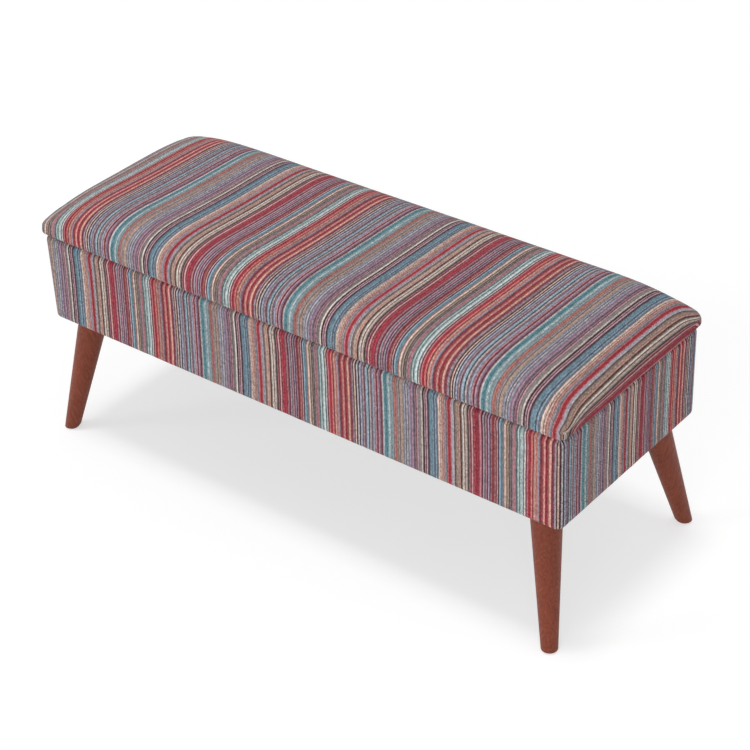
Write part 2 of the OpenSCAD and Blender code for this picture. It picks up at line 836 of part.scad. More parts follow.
front_panel();
back_panel();
left_panel();
right_panel();
base_board();
frame_screws();
base_screws();
box_wadding();
box_cover();
storage_lining();
dust_cloth();
leg_front_left();
leg_front_right();
leg_back_left();
leg_back_right();
hanger_bolts();
tee_nuts();
foot_glides();
hinge_box_leaves();
hinge_pins();
hinge_box_screws();
stay_box_brackets();
stay_box_rivets();
stay_box_screws();
lid_board();
lid_foam();
lid_cover();
lid_cloth();
hinge_lid_leaves();
hinge_lid_screws();
stay_lid_brackets();
stay_lid_rivets();
stay_lid_screws();
stay_lower_arm_left();
stay_lower_arm_right();
stay_elbow_rivet_left();
stay_elbow_rivet_right();
stay_upper_arm_left();
stay_upper_arm_right();
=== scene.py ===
import math
from functools import partial

import bmesh
import bpy
import numpy as np
from mathutils import Matrix, Vector, noise


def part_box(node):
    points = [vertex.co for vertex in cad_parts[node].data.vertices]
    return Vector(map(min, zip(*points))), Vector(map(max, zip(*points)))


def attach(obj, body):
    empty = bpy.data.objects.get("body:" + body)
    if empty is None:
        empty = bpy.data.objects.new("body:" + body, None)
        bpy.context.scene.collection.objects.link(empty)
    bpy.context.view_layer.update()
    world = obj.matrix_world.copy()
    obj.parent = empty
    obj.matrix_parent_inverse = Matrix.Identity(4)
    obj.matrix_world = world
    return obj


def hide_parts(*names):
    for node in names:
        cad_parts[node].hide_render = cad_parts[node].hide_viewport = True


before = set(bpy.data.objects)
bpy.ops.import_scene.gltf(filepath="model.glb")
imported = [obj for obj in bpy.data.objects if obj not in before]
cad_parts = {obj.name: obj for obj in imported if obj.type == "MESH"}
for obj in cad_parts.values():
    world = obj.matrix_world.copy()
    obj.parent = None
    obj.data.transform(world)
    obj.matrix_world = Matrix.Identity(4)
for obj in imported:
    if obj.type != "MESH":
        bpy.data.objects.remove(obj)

mm = 0.001
scene = bpy.context.scene
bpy.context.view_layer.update()  # kept from before any piece is added
boxLow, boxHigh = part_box("box_cover")
lidLow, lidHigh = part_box("lid_cover")
seamTop = boxHigh.z  # rim of the box


def linearColour(code):
    # "#rrggbb" in sRGB to the linear values that shaders take
    parts = [int(code[i:i + 2], 16) / 255 for i in (1, 3, 5)]
    return [p / 12.92 if p <= 0.04045 else ((p + 0.055) / 1.055) ** 2.4 for p in parts] + [1.0]


def setInputs(node, links):
    # each source is a value, an output, or a node, whose first output is taken
    for name, source in links.items():
        if isinstance(source, bpy.types.Node):
            source = source.outputs[0]
        if isinstance(source, bpy.types.NodeSocket):
            node.id_data.links.new(source, node.inputs[name])
        else:
            node.inputs[name].default_value = source


def addNode(tree, kind, links=None, operation=None, **settings):
    node = tree.nodes.new("ShaderNode" + kind)
    if operation:
        node.operation = operation
    for name, value in settings.items():
        setattr(node, name, value)
    setInputs(node, links or {})
    return node


def nodeAdder(owner):
    # empties a node tree and gives the function that adds nodes to it
    owner.use_nodes = True
    owner.node_tree.nodes.clear()
    return partial(addNode, owner.node_tree)


def newMaterial(name, sockets):
    # a material with one Principled shader, whose plain sockets are set here
    material = bpy.data.materials.new(name)
    add = nodeAdder(material)
    shader = add("BsdfPrincipled", sockets)
    add("OutputMaterial", {"Surface": shader})
    return material, add, shader


def closeMaterial(add, shader, links, height, strength, depth):
    # joins the shader's links, with bumps of the given depth in mm
    bump = add("Bump", {"Strength": strength, "Distance": depth * mm, "Height": height})
    setInputs(shader, {**links, "Normal": bump})


def shadeColour(add, colour, light):
    # the colour times one value, which makes it darker or lighter
    grey = add("CombineXYZ", {0: light, 1: light, 2: light})
    return add("Mix", {0: 1.0, 6: colour, 7: grey}, data_type="RGBA", blend_type="MULTIPLY").outputs[2]


def fillRamp(ramp, stops, interpolation="LINEAR"):
    # stops are (position, colour) in rising order, each colour linear or "#rrggbb"
    ramp.color_ramp.interpolation = interpolation
    elements = ramp.color_ramp.elements
    while len(elements) > 1:
        elements.remove(elements[-1])
    for index, (position, colour) in enumerate(stops):
        element = elements.new(position) if index else elements[0]
        element.position = position
        element.color = linearColour(colour) if isinstance(colour, str) else colour
    return ramp


def makePiece(name, points, faces):
    mesh = bpy.data.meshes.new(name)
    mesh.from_pydata([tuple(p) for p in points], [], [tuple(int(i) for i in face) for face in faces])
    mesh.update()
    piece = bpy.data.objects.new(name, mesh)
    scene.collection.objects.link(piece)
    return piece


def storeValues(piece, name, values, domain="POINT"):
    attribute = piece.data.attributes.new(name, "FLOAT", domain)
    attribute.data.foreach_set("value", np.asarray(values, np.float32))


def readValues(data, key, width=1):
    values = np.zeros(len(data) * width)
    data.foreach_get(key, values)
    return values.reshape(-1, width) if width > 1 else values


def readPoints(piece):
    return readValues(piece.data.vertices, "co", 3)


def readNormals(piece):
    return readValues(piece.data.vertices, "normal", 3)


def writePoints(piece, points):
    piece.data.vertices.foreach_set("co", np.asarray(points, float).ravel())
    piece.data.update()


def applyModifiers(piece):
    graph = bpy.context.evaluated_depsgraph_get()
    mesh = bpy.data.meshes.new_from_object(piece.evaluated_get(graph), depsgraph=graph)
    old = piece.data
    piece.modifiers.clear()
    piece.data = mesh
    bpy.data.meshes.remove(old)


def subdivide(piece):
    piece.modifiers.new("smooth", "SUBSURF").levels = 1
    applyModifiers(piece)


def finishPiece(piece, material, body, nodes):
    piece.data.materials.clear()
    piece.data.materials.append(material)
    piece.data.shade_smooth()
    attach(piece, body)
    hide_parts(*nodes)


def smoothStep(value, low, high):
    t = np.clip((value - low) / (high - low), 0, 1)
    return t * t * (3 - 2 * t)


def band(place, edge, limits):
    # 0 to 1 between two distances from an edge
    return smoothStep(place, edge + limits[0], edge + limits[1])


def softNoise(points, layers):
    # smooth noise; each layer is (height, size of its bumps, seed)
    total = 0
    for height, size, seed in layers:
        shift = Vector((seed * 7.31, seed * 3.17, seed * 5.53))
        total = total + height * np.array([noise.noise(Vector(p) / size + shift) for p in points])
    return total


view = {
    "lens": 97.44,
    "sensor": 36,
    "azimuth": 39.65,  # degrees round from the front
    "elevation": 33.56,
    "roll": -2.59,
    "distance": 3.5215,
    "sideways": 0.026,
    "lift": -0.0239,
}


def placeCamera():
    azimuth, elevation, roll = (math.radians(view[k]) for k in ("azimuth", "elevation", "roll"))
    right = Vector((math.cos(azimuth), math.sin(azimuth), 0))
    back = Vector((math.sin(azimuth) * math.cos(elevation), -math.cos(azimuth) * math.cos(elevation),
                   math.sin(elevation)))
    up = back.cross(right)
    across = right * math.cos(roll) + up * math.sin(roll)
    upright = up * math.cos(roll) - right * math.sin(roll)
    aim = Vector((0, 0, boxLow.z)) + across * view["sideways"] + upright * view["lift"]
    camera = bpy.data.objects.new("camera", bpy.data.cameras.new("camera"))
    camera.data.lens, camera.data.sensor_width = view["lens"], view["sensor"]
    turn = Matrix((across, upright, back)).transposed().to_4x4()
    camera.matrix_world = Matrix.Translation(aim + back * view["distance"]) @ turn
    scene.collection.objects.link(camera)
    scene.camera = camera


placeCamera()
print("stage: camera")


yarns = {
    "teal": "#528086", "tealMid": "#6e969c", "aqua": "#868f93", "aquaPale": "#bacacd",
    "sky": "#a3b6c2", "steel": "#618896", "steelPale": "#8ba3b2", "steelDark": "#586a78",
    "slate": "#6c707c", "sea": "#677a7b", "seaMid": "#8fa3a1", "seaPale": "#bcc6c6",
    "seaDark": "#354a4c", "periwinkle": "#a2a1b2", "lavender": "#8c879a", "lilac": "#a395a0",
    "silver": "#bfbdc2", "ash": "#9c969a", "stone": "#837c7c", "iron": "#776769",
    "coal": "#504649", "ink": "#443640", "umber": "#583d35", "brown": "#7b6052",
    "taupe": "#918074", "sand": "#a8988c", "oat": "#cbbbb0", "ivory": "#d6cec8",
    "cream": "#e2cbc0", "shell": "#cdb5aa", "peach": "#c0958a", "melon": "#dc9f90",
    "salmon": "#b1776c", "brick": "#9b544b", "red": "#a8343b",
    "coral": "#dc746c", "crimson": "#a62f43", "garnet": "#91323a", "wine": "#7a333a",
    "port": "#6b4044", "rose": "#b26e74", "roseGrey": "#9a7c82", "rosePale": "#ba9da4",
    "pink": "#b8838f", "blush": "#d09896", "mauve": "#8d7183", "plum": "#835f6e",
    "plumDark": "#5e3246", "aubergine": "#4d464f",
}
# one repeat of the warp, left to right: yarn, the yarn that speckles it, width in mm
warp = [
    ("teal", "steel", 4), ("tealMid", "aqua", 2.5), ("aquaPale", "aqua", 3), ("aqua", "tealMid", 6),
    ("iron", "stone", 1.6), ("salmon", "brick", 2.6), ("brick", "taupe", 1.6), ("roseGrey", "brick", 2),
    ("taupe", "stone", 2), ("ash", "stone", 2), ("brown", "iron", 1.4), ("taupe", "peach", 2.2),
    ("sand", "peach", 1.6), ("taupe", "sand", 1.6), ("stone", "ash", 1.6), ("periwinkle", "ash", 2.6),
    ("slate", "iron", 2.1), ("silver", "lilac", 2.4), ("stone", "iron", 1.8),
    ("lavender", "periwinkle", 2.9), ("plum", "mauve", 1.8), ("mauve", "plum", 1.8),
    ("lilac", "mauve", 1.6), ("mauve", "plum", 1.7), ("aubergine", "plum", 1.8), ("roseGrey", "mauve", 2),
    ("wine", "plum", 1.8), ("rosePale", "roseGrey", 2), ("iron", "stone", 1.8), ("stone", "taupe", 4),
    ("ivory", "oat", 3), ("ink", "port", 3), ("rosePale", "roseGrey", 1.7), ("port", "plumDark", 1.8),
    ("rosePale", "pink", 2.2), ("ink", "coal", 3), ("slate", "steel", 2), ("steel", "slate", 3.8),
    ("steelPale", "steel", 2.8), ("steelDark", "ink", 2.3), ("steelPale", "slate", 2.1),
    ("slate", "steelDark", 2.3), ("stone", "sand", 1.7), ("shell", "cream", 2.9), ("peach", "taupe", 1.6),
    ("shell", "peach", 1.8), ("salmon", "peach", 2), ("peach", "salmon", 1.8), ("roseGrey", "stone", 2),
    ("ash", "roseGrey", 2), ("slate", "stone", 1.8), ("rose", "coral", 1.8), ("garnet", "red", 4.6),
    ("rose", "wine", 1.8), ("lilac", "ash", 2.8), ("ash", "silver", 2), ("iron", "brown", 2.4),
    ("taupe", "brown", 2.2), ("sand", "peach", 2.6), ("salmon", "peach", 1.7), ("peach", "sand", 1.8),
    ("umber", "brown", 2.8), ("taupe", "stone", 1.6), ("ivory", "cream", 2.6), ("brown", "umber", 2),
    ("oat", "sand", 2.8), ("taupe", "stone", 1.8), ("coal", "umber", 2.8), ("rose", "roseGrey", 1.8),
    ("port", "wine", 2.4), ("blush", "rosePale", 2.5), ("wine", "brick", 2), ("garnet", "rose", 2),
    ("crimson", "garnet", 6.2), ("port", "wine", 1.6), ("rose", "pink", 3.2), ("plumDark", "wine", 3),
    ("lilac", "ash", 2.5), ("coal", "iron", 1.8), ("pink", "mauve", 2.6), ("plumDark", "aubergine", 2.1),
    ("lilac", "mauve", 2.3), ("plumDark", "port", 2), ("mauve", "pink", 2.4), ("wine", "garnet", 2.8),
    ("brick", "wine", 2), ("roseGrey", "brick", 1.5), ("wine", "brick", 2.2), ("rosePale", "blush", 2),
    ("ink", "coal", 2.4), ("steelPale", "sky", 2.2), ("steel", "slate", 3.4), ("stone", "slate", 2),
    ("salmon", "taupe", 1.4), ("cream", "shell", 3.2), ("brown", "taupe", 2.4), ("sand", "taupe", 2),
    ("umber", "brown", 1.8), ("stone", "iron", 1.6), ("iron", "umber", 2.4), ("roseGrey", "ash", 1.8),
    ("rose", "roseGrey", 3.6), ("stone", "iron", 2), ("sea", "seaDark", 2.4), ("seaPale", "seaMid", 2.4),
    ("sea", "seaMid", 2), ("seaMid", "seaPale", 2), ("seaPale", "aquaPale", 3), ("sea", "stone", 2.4),
    ("ivory", "rosePale", 2.2), ("port", "wine", 2.2), ("rose", "pink", 2.4), ("red", "garnet", 4.4),
    ("coral", "rose", 3), ("wine", "brick", 2.2), ("peach", "salmon", 3), ("salmon", "brick", 3),
    ("lilac", "roseGrey", 3.3), ("plum", "wine", 2.2), ("garnet", "wine", 3), ("brick", "garnet", 2),
    ("blush", "coral", 3.3), ("garnet", "red", 4.1), ("brick", "brown", 2.6), ("melon", "blush", 4.1),
    ("port", "garnet", 2.9), ("wine", "plum", 2), ("lilac", "roseGrey", 2.4), ("umber", "brown", 2),
    ("shell", "peach", 2.6), ("umber", "coal", 2.6), ("silver", "lilac", 2.8), ("ink", "aubergine", 2.6),
    ("periwinkle", "slate", 3.2), ("slate", "iron", 2), ("roseGrey", "rosePale", 2.8),
    ("plumDark", "plum", 2), ("slate", "iron", 1.6), ("sky", "steelPale", 4), ("seaDark", "steelDark", 2.4),
    ("ash", "shell", 2.4), ("plum", "roseGrey", 2), ("slate", "iron", 2.4), ("periwinkle", "sky", 2.2),
    ("mauve", "lilac", 2), ("rosePale", "rose", 2.6), ("wine", "garnet", 2.6), ("lilac", "mauve", 2.4),
    ("plum", "mauve", 2.8), ("port", "plumDark", 2.6), ("roseGrey", "stone", 1.4),
    ("silver", "aquaPale", 2.2), ("tealMid", "teal", 2.2),
]
cloth = {
    "repeat": 396.0,  # mm from one teal band to the next
    "lidStart": 8.5,  # where the teal band starts on the lid, mm right of its middle
    "boxStart": -186.5,  # and on the box's front
    # a finer weave wouldn't show at this size, so cords and floats are drawn coarser than usual ones
    "thread": 1.7,  # mm across the cloth from one cord to the next
    "dot": 2.6,  # mm along the cloth of one float of a cord
    "speckle": 0.88,  # greatest share of the second yarn in a float
    "cordShade": 0.46,  # how far the cords differ in lightness
    "dotShade": 0.82,  # how far the floats of a cord differ in lightness
    "twill": 0.2,  # part of that difference that alternates evenly from float to float
    "depth": 0.18,  # how much deeper a cord's colour is than the run of its neighbours
    "reach": 5.0,  # mm over which that run is taken
    "weft": "#7d6f72",  # the crossing yarn, which shows a little everywhere
    "weftShare": 0.14,
    "lean": 10,  # mm that the stripes lean over the box's height at its left end
    "roughness": 0.9,
    "sheen": 0.06,
    "bump": 0.35,
    "ribHeight": 0.4,  # mm
    "rampStops": 28,  # stops in one ramp, which can hold 32
}


def warpShades(layer, widths, total):
    # each yarn's colour, deepened against the run of its neighbours so that thin stripes stay clear
    middles = np.cumsum(widths) - widths / 2
    plain = np.array([linearColour(yarns[yarn[layer]])[:3] for yarn in warp])
    gap = np.abs((middles[:, None] - middles[None, :] + total / 2) % total - total / 2)
    near = np.exp(-(gap / cloth["reach"]) ** 2) * widths
    run = near @ plain / near.sum(axis=1, keepdims=True)
    deep = np.clip(plain + cloth["depth"] * (plain - run), 0.004, 1)
    return [list(c) + [1.0] for c in deep]


def paintWarp(add, across):
    # the colours of both yarns at each place across the cloth, from as many ramps as the warp needs
    place = add("Math", {0: across, 1: cloth["repeat"]}, "FLOORED_MODULO")
    widths = np.array([yarn[2] for yarn in warp], float)
    total = sum(widths)
    scale = cloth["repeat"] / total
    shades = [warpShades(layer, widths, total) for layer in (0, 1)]
    size, colours, start = cloth["rampStops"], [None, None], 0.0
    for first in range(0, len(warp), size):
        length = sum(widths[first:first + size]) * scale
        local = add("MapRange", {0: place, 1: start, 2: start + length})
        inside = add("Math", {0: place, 1: start}, "GREATER_THAN")
        for layer in (0, 1):
            stops, edge = [], 0.0
            for width, shade in zip(widths[first:first + size], shades[layer][first:first + size]):
                stops.append((edge / length, shade))
                edge += width * scale
            ramp = fillRamp(add("ValToRGB", {0: local}), stops, "CONSTANT")
            if colours[layer] is None:
                colours[layer] = ramp.outputs[0]
            else:
                colours[layer] = add("Mix", {0: inside, 6: colours[layer], 7: ramp},
                                     data_type="RGBA").outputs[2]
        start += length
    return colours


def makeStripedCloth():
    # jacquard multi-stripe cloth: matt yarn, a faint sheen at grazing angles, and a speckled twill surface
    material, add, shader = newMaterial("woven multi-stripe jacquard", {
        "Roughness": cloth["roughness"], "Sheen Weight": cloth["sheen"], "Sheen Roughness": 0.45,
        "IOR": 1.46, "Specular IOR Level": 0.12})
    across = add("Attribute", attribute_name="stripe").outputs["Fac"]
    along = add("Attribute", attribute_name="run").outputs["Fac"]
    colours = paintWarp(add, across)
    # cords across the cloth and their floats, each half a step off its neighbour's as in a twill
    cord = add("Math", {0: across, 1: cloth["thread"]}, "DIVIDE")
    number = add("Math", {0: cord}, "FLOOR")
    offset = add("Math", {0: number, 1: 0.5}, "MULTIPLY")
    step = add("Math", {0: along, 1: 1 / cloth["dot"], 2: offset}, "MULTIPLY_ADD")
    count = add("Math", {0: step}, "FLOOR")
    cell = add("CombineXYZ", {0: number, 1: count})
    floats = add("TexWhiteNoise", {"Vector": cell}, noise_dimensions="2D")
    cords = add("TexWhiteNoise", {"W": number}, noise_dimensions="1D")
    parts = add("SeparateColor", {0: floats.outputs["Color"]})
    share = add("Math", {0: parts, 1: 2.0}, "POWER")
    part = add("Math", {0: share, 1: cloth["speckle"]}, "MULTIPLY")
    mixed = add("Mix", {0: part, 6: colours[0], 7: colours[1]}, data_type="RGBA").outputs[2]
    weft = linearColour(cloth["weft"])
    woven = add("Mix", {0: cloth["weftShare"], 6: mixed, 7: weft}, data_type="RGBA").outputs[2]
    # each cord and each float takes the dye a little differently
    darkest = 1 - (cloth["cordShade"] + cloth["dotShade"]) / 2
    twill = cloth["twill"] * cloth["dotShade"]
    loose = (1 - cloth["twill"]) * cloth["dotShade"]
    light = add("Math", {0: cords.outputs["Value"], 1: cloth["cordShade"], 2: darkest}, "MULTIPLY_ADD")
    even = add("Math", {0: count, 1: 2.0}, "FLOORED_MODULO")
    light = add("Math", {0: even, 1: twill, 2: light}, "MULTIPLY_ADD")
    light = add("Math", {0: parts.outputs[1], 1: loose, 2: light}, "MULTIPLY_ADD")
    # the cords stand up as ribs, and each float as a small bump on its cord
    heights = []
    for lines in (cord, step):
        turn = add("Math", {0: lines, 1: math.pi}, "MULTIPLY")
        swell = add("Math", {0: turn}, "SINE")
        heights.append(add("Math", {0: swell}, "ABSOLUTE"))
    height = add("Math", {0: heights[0], 1: heights[1]}, "MULTIPLY")
    closeMaterial(add, shader, {"Base Color": shadeColour(add, woven, light)}, height, cloth["bump"],
                  cloth["ribHeight"])
    return material


stripedCloth = makeStripedCloth()
print("stage: striped cloth")


def sideSteps(count, gather=0.6):
    # from -1 to 1, closer together towards both ends
    t = np.linspace(-1, 1, count + 1)
    return (1 - gather) * t + gather * np.sin(t * math.pi / 2)


def quarterTurn(count):
    # angles from 0 to a right angle
    return [math.pi / 2 * i / count for i in range(count + 1)]


def places(x, y, z=0):
    # points from their x and y, at one height or each at its own
    return np.stack([x, y, x * 0 + z], 1)


def bendCorners(x, y, halfX, halfY, radius):
    # moves points of a sharp-cornered rectangle onto one with rounded corners
    ex = np.clip((np.abs(x) - (halfX - radius)) / radius, 0, None)
    ey = np.clip((np.abs(y) - (halfY - radius)) / radius, 0, None)
    far, near = np.maximum(ex, ey), np.minimum(ex, ey)
    angle = math.pi / 4 * near / np.maximum(far, 1e-9)
    angle = np.where(ex >= ey, angle, math.pi / 2 - angle)
    inCorner = (ex > 0) & (ey > 0)
    bentX = np.sign(x) * (halfX - radius + radius * far * np.cos(angle))
    bentY = np.sign(y) * (halfY - radius + radius * far * np.sin(angle))
    return np.where(inCorner, bentX, x), np.where(inCorner, bentY, y)


def gridFaces(rows, columns):
    # a grid's quads, and its border from the front left corner round by the right
    index = np.arange(rows * columns).reshape(rows, columns)
    faces = [(index[i, j], index[i + 1, j], index[i + 1, j + 1], index[i, j + 1])
             for i in range(rows - 1) for j in range(columns - 1)]
    return faces, np.concatenate([index[:-1, 0], index[-1, :-1], index[:0:-1, -1], index[0, :0:-1]])


def loopSteps(u, v):
    # the places of such a border
    one = np.ones
    loopU = np.concatenate([u[:-1], one(len(v) - 1), u[:0:-1], -one(len(v) - 1)])
    loopV = np.concatenate([-one(len(u) - 1), v[:-1], one(len(u) - 1), v[:0:-1]])
    return loopU, loopV


def ringPoints(loopU, loopV, halfX, halfY, radius, z):
    x, y = bendCorners(loopU * halfX, loopV * halfY, halfX, halfY, radius)
    return places(x, y, z)


def ringFaces(rings, count, closed=True):
    # quads between rings of count points, each ring given by its first index
    faces = []
    for a, b in zip(rings[:-1], rings[1:]):
        for j in range(count if closed else count - 1):
            k = (j + 1) % count
            faces.append((a + j, b + j, b + k, a + k))
    return faces


def skirtFaces(border, rings):
    # quads from a grid's border to the first ring and on between the rings
    count = len(border)
    return [(border[j], rings[0] + j, rings[0] + (j + 1) % count, border[(j + 1) % count])
            for j in range(count)] + ringFaces(rings, count)


def simulateCloth(piece, pinned, form):
    # lets the cover swell under an even pressure, then limits how far each point went
    before = readPoints(piece)
    group = piece.vertex_groups.new(name="pinned")
    for weight in np.unique(pinned):
        if weight > 0:
            group.add(np.nonzero(pinned == weight)[0].tolist(), float(weight), "REPLACE")
    fabric = piece.modifiers.new("cloth", "CLOTH")
    for name, value in form["cloth"].items():
        setattr(fabric.settings, name, value)
    fabric.settings.use_pressure = True
    fabric.settings.effector_weights.gravity = 0
    fabric.settings.vertex_group_mass = "pinned"
    fabric.collision_settings.use_collision = False
    for step in range(1, form["frames"] + 1):
        scene.frame_set(step)
    applyModifiers(piece)
    scene.frame_set(1)
    moved = readPoints(piece) - before
    size = np.linalg.norm(moved, axis=1)
    limit = form["limit"] * mm
    print("  swelled by up to", round(float(size.max()) / mm, 2), "mm, mean",
          round(float(size.mean()) / mm, 2), "mm")
    share = limit * np.tanh(size / limit) / np.maximum(size, 1e-9)
    writePoints(piece, before + moved * share[:, None])
    piece.vertex_groups.clear()


def swellCover(piece, points, free, pinned, form):
    # starts the cover a little inside its form where it is free, and lets it swell
    normals = readNormals(piece)
    writePoints(piece, points * mm - normals * (form["start"] * mm * free)[:, None])
    simulateCloth(piece, np.round(pinned, 2), form)
    subdivide(piece)


def fillHoles(piece):
    # closes the hidden inner side, where the cover lies on its board
    work = bmesh.new()
    work.from_mesh(piece.data)
    bmesh.ops.holes_fill(work, edges=[e for e in work.edges if e.is_boundary], sides=0)
    work.to_mesh(piece.data)
    work.free()


lid = {
    "flatCells": 80,  # cells along the level middle of the lid
    "rollCells": 28,  # and over the roll at each end
    "acrossCells": 8,  # the same from front to back
    "frontCells": 24,
    "endRoll": 210,  # mm that the dome runs in from each end
    "frontRoll": 97,  # and from the front and the back
    "endLevel": 20,  # mm of level middle left at the ends, where the cloth pulls the dome down
    "fullness": 2.8,  # of the dome's sections: 2 is an ellipse, more is squarer
    "endFullness": 1.55,  # of the section from front to back at the ends
    "waist": 18,  # mm of the widest line above the seam
    "corner": 14,
    "lowerRound": 8,
    "hem": 30,  # mm turned under the board
    "tuck": (0.3, 0.9),  # mm that the hem's cut edge goes further in, and up to the board
    "start": 0.6,  # mm that the form starts inside its full size, because it swells
    "grip": 0.2,  # how firmly the foam holds the cloth, where 1 is nailed down
    "held": (2, 12),  # mm below the waist over which the cloth comes to be held firmly
    "frames": 20, "limit": 2.5,  # of the swelling, and the mm that it may reach
    "cloth": {"quality": 5, "mass": 0.3, "tension_stiffness": 30, "compression_stiffness": 30,
              "shear_stiffness": 12, "bending_stiffness": 1.2, "uniform_pressure_force": 6},
    # how the striped cloth lies, in mm
    "cornerPull": 42,  # beside a corner over which the end's stripes run down to the seam
    "offset": (7.2, 0.011),  # stripes right of square at the middle, and how that falls to the right
    "slant": (4.6, 0.0155, 40),  # the same added towards the back, full that far behind the middle
    "endTight": (4, 70),  # drawn down over the ends, and from how far before them
    "cornerGather": (13, 34),  # taken up by the pleat at a corner, and how far that spreads
    "gatherBand": (-60, -4),  # from the end, where the pleat starts and is full
    "wander": ((1.0, 95, 3), (0.5, 38, 4)),  # noise layers: how far stripes leave a straight line
    # small forms of the cloth, in mm
    "puckerDepth": 0.5,
    "puckers": ((0.6, 17, 8), (0.4, 9, 9)),
    "puckerBand": (14, -6),  # above the waist, where the puckers start and are full
    "pleat": (1.5, 2.2),  # depth and width of a corner's pleat
    "pleatBand": (6, -10),  # above the waist, where it starts and is full
    "unevenness": ((0.7, 120, 5),),
    "endFull": (1.8, 60),  # bulge of the padding at the ends, and from how far before them
}


def domeSteps(half, run, flatCells, roll):
    # from -half to half: even over the level middle, then closer together down the roll
    outer = half - run + run * np.sin(np.linspace(0, math.pi / 2, roll + 1)) ** (2 / lid["fullness"])
    inner = np.linspace(0, half - run, flatCells // 2 + 1)
    side = np.concatenate([inner[1:], outer[1:]])
    return np.concatenate([-side[::-1], [0], side])


def domeRise(place, half, run, fullness):
    # 0 at the edge, 1 over the level middle
    near = np.clip(1 - (half - np.abs(place)) / run, 0, 1)
    return (1 - near ** fullness) ** (1 / fullness)


def domeArc(place, half, run, rise):
    # length of cloth from the middle out to that place
    steps = half - run * (1 - np.sin(np.linspace(0, math.pi / 2, 600)) ** (2 / lid["fullness"]))
    height = rise * domeRise(steps, half, run, lid["fullness"])
    path = half - run + np.concatenate([[0], np.cumsum(np.hypot(np.diff(steps), np.diff(height)))])
    far = np.interp(np.abs(place), steps, path)
    return np.sign(place) * np.where(np.abs(place) < half - run, np.abs(place), far)


def lidRows(waist, under):
    # inset, height and length of cloth of the rows below the waist, down and in under the board
    low, wall = lid["lowerRound"], waist - under - lid["lowerRound"]
    rows = [(0, waist - wall * i / 3, wall * i / 3) for i in range(1, 4)]
    for angle in quarterTurn(5)[1:]:
        rows.append((low * (1 - math.cos(angle)), under + low * (1 - math.sin(angle)), wall + low * angle))
    turned = wall + low * math.pi / 2
    for i in range(1, 5):
        inset = low + (lid["hem"] - low) * i / 4
        rows.append((inset, under, turned + inset - low))
    inward, upward = lid["tuck"]
    rows.append((lid["hem"] + inward, under + upward, turned + lid["hem"] - low + 1))
    return rows


